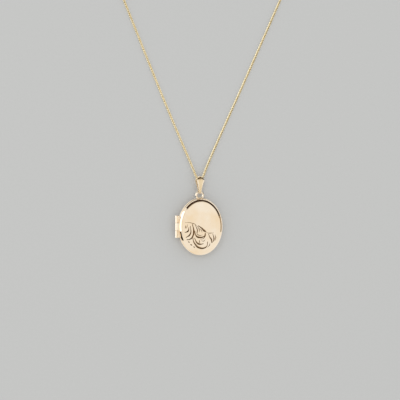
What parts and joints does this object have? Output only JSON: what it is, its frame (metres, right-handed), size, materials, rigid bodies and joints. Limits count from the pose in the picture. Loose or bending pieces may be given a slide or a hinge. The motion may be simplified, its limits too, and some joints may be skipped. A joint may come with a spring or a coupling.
{
  "type": "locket",
  "caption": "Oval hinged photo locket with a half-engraved front, a folded bail on a soldered ring and a fine curb chain with a spring-ring clasp, lying face up.",
  "frame": {"origin": "centre of the locket's flat back face", "axes": "+Z out of the front face, +Y towards the bail along the locket's length, hinge on the -X side"},
  "size_m": [0.0706, 0.1269, 0.0046],
  "materials": {
    "polished_gold": "polished yellow gold, 9 carat colour",
    "engraved_gold": "polished yellow gold with bright-cut engraving",
    "chain_gold": "polished yellow gold links",
    "hinge_pin_steel": "hard drawn wire",
    "spring_steel": "spring wire",
    "clear_acetate": "clear",
    "photo_card": "matt card"
  },
  "bodies": {
    "chain": {"chain_run": "chain_gold", "chain_coil": "chain_gold", "clasp_ring": "polished_gold", "clasp_eye": "polished_gold", "clasp_spring": "spring_steel", "clasp_jump_ring": "polished_gold", "chain_end_ring": "polished_gold"},
    "clasp_trigger": {"clasp_bolt": "polished_gold"},
    "bail": {"bail": "polished_gold"},
    "case": {"back_shell": "polished_gold", "back_rim": "polished_gold", "back_photo_card": "photo_card", "back_window": "clear_acetate", "back_photo_frame": "polished_gold", "hinge_knuckle_lower": "polished_gold", "hinge_knuckle_upper": "polished_gold", "hinge_pin": "hinge_pin_steel", "top_ring": "polished_gold"},
    "cover": {"front_shell": "engraved_gold", "front_rim": "polished_gold", "front_photo_card": "photo_card", "front_window": "clear_acetate", "front_photo_frame": "polished_gold", "hinge_knuckle_middle": "polished_gold"}
  },
  "joints": [
    {"name": "clasp_slide", "type": "hinge", "parent": "chain", "child": "clasp_trigger", "pos_m": [0.00087, 0.105, 0.0009], "axis": [0, 0, 1], "range_deg": [0, 42], "stiffness_Nm_per_rad": 0.00001, "deforming": ["clasp_spring"]},
    {"name": "bail_swing", "type": "hinge", "parent": "chain", "child": "bail", "pos_m": [0, 0.0181, 0.00156], "axis": [-1, 0, 0], "range_deg": [0, 40]},
    {"name": "locket_swing", "type": "hinge", "parent": "bail", "child": "case", "pos_m": [0, 0.01354, 0.00158], "axis": [-1, 0, 0], "range_deg": [0, 90]},
    {"name": "cover_hinge", "type": "hinge", "parent": "case", "child": "cover", "pos_m": [-0.00945, 0, 0.00231], "axis": [0, -1, 0], "range_deg": [0, 180]}
  ]
}
